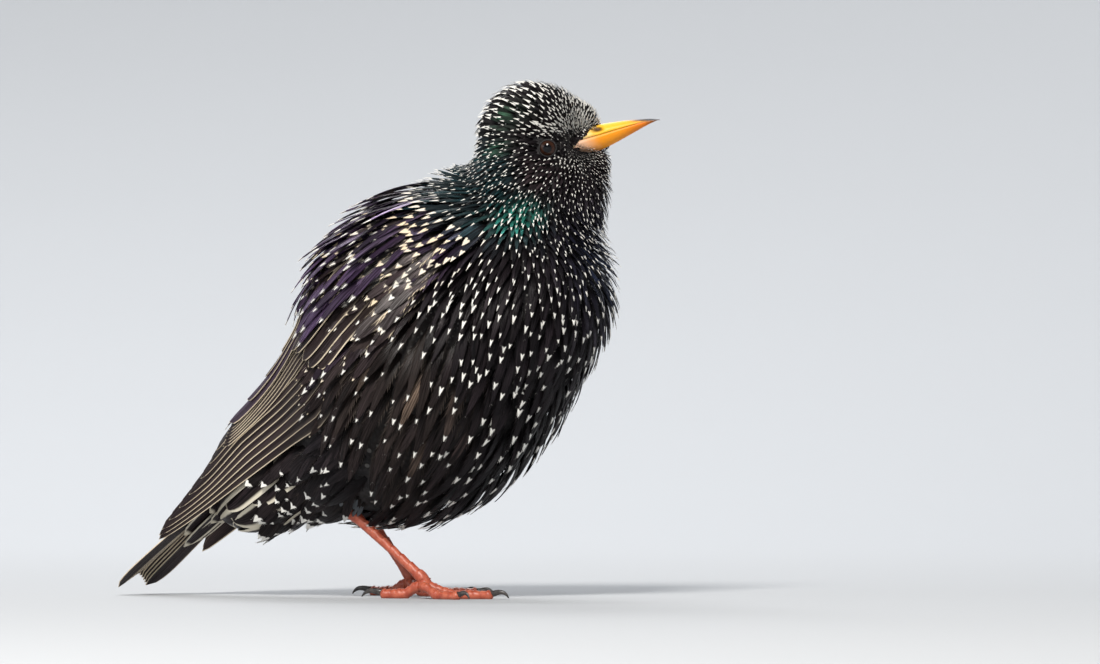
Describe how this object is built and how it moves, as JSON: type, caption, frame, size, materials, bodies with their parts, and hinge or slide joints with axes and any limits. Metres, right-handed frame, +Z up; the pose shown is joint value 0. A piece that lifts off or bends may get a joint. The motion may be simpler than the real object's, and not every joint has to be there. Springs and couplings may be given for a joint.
{
  "type": "common starling",
  "caption": "Life-size still model of a standing starling: puffed, spotted, glossy black plumage, folded wings, closed tail and pointed yellow bill, on two clawed feet.",
  "frame": {"origin": "the middle of the model's box, on the level that both feet stand on", "axes": "+X the way the body faces, +Y its left side, +Z up"},
  "size_m": [0.1704, 0.0842, 0.1551],
  "materials": {
    "plumage": "glossy black feathers with purple, bronze and green sheen and small white and buff tips",
    "flight_feathers": "satin dark brown vanes with narrow buff edges",
    "bill": "satin horn, orange yellow with a grey tip and a pale base",
    "eye": "wet, dark brown",
    "leg_scales": "satin salmon red scales",
    "claw": "dark grey horn"
  },
  "bodies": {
    "root": {"head": "plumage", "neck": "plumage", "torso": "plumage", "tail_coverts_upper": "plumage", "tail_coverts_under": "plumage", "thigh_right": "plumage", "thigh_left": "plumage", "tail": "flight_feathers", "wing_right": "flight_feathers", "wing_left": "flight_feathers", "bill_upper": "bill", "bill_lower": "bill", "eye_right": "eye", "tarsus_right": "leg_scales", "toe_middle_right": "leg_scales", "claw_middle_right": "claw", "toe_hind_right": "leg_scales", "claw_hind_right": "claw", "toe_inner_right": "leg_scales", "claw_inner_right": "claw", "toe_outer_right": "leg_scales", "claw_outer_right": "claw", "eye_left": "eye", "tarsus_left": "leg_scales", "toe_middle_left": "leg_scales", "claw_middle_left": "claw", "toe_hind_left": "leg_scales", "claw_hind_left": "claw", "toe_inner_left": "leg_scales", "claw_inner_left": "claw", "toe_outer_left": "leg_scales", "claw_outer_left": "claw"}
  },
  "joints": []
}
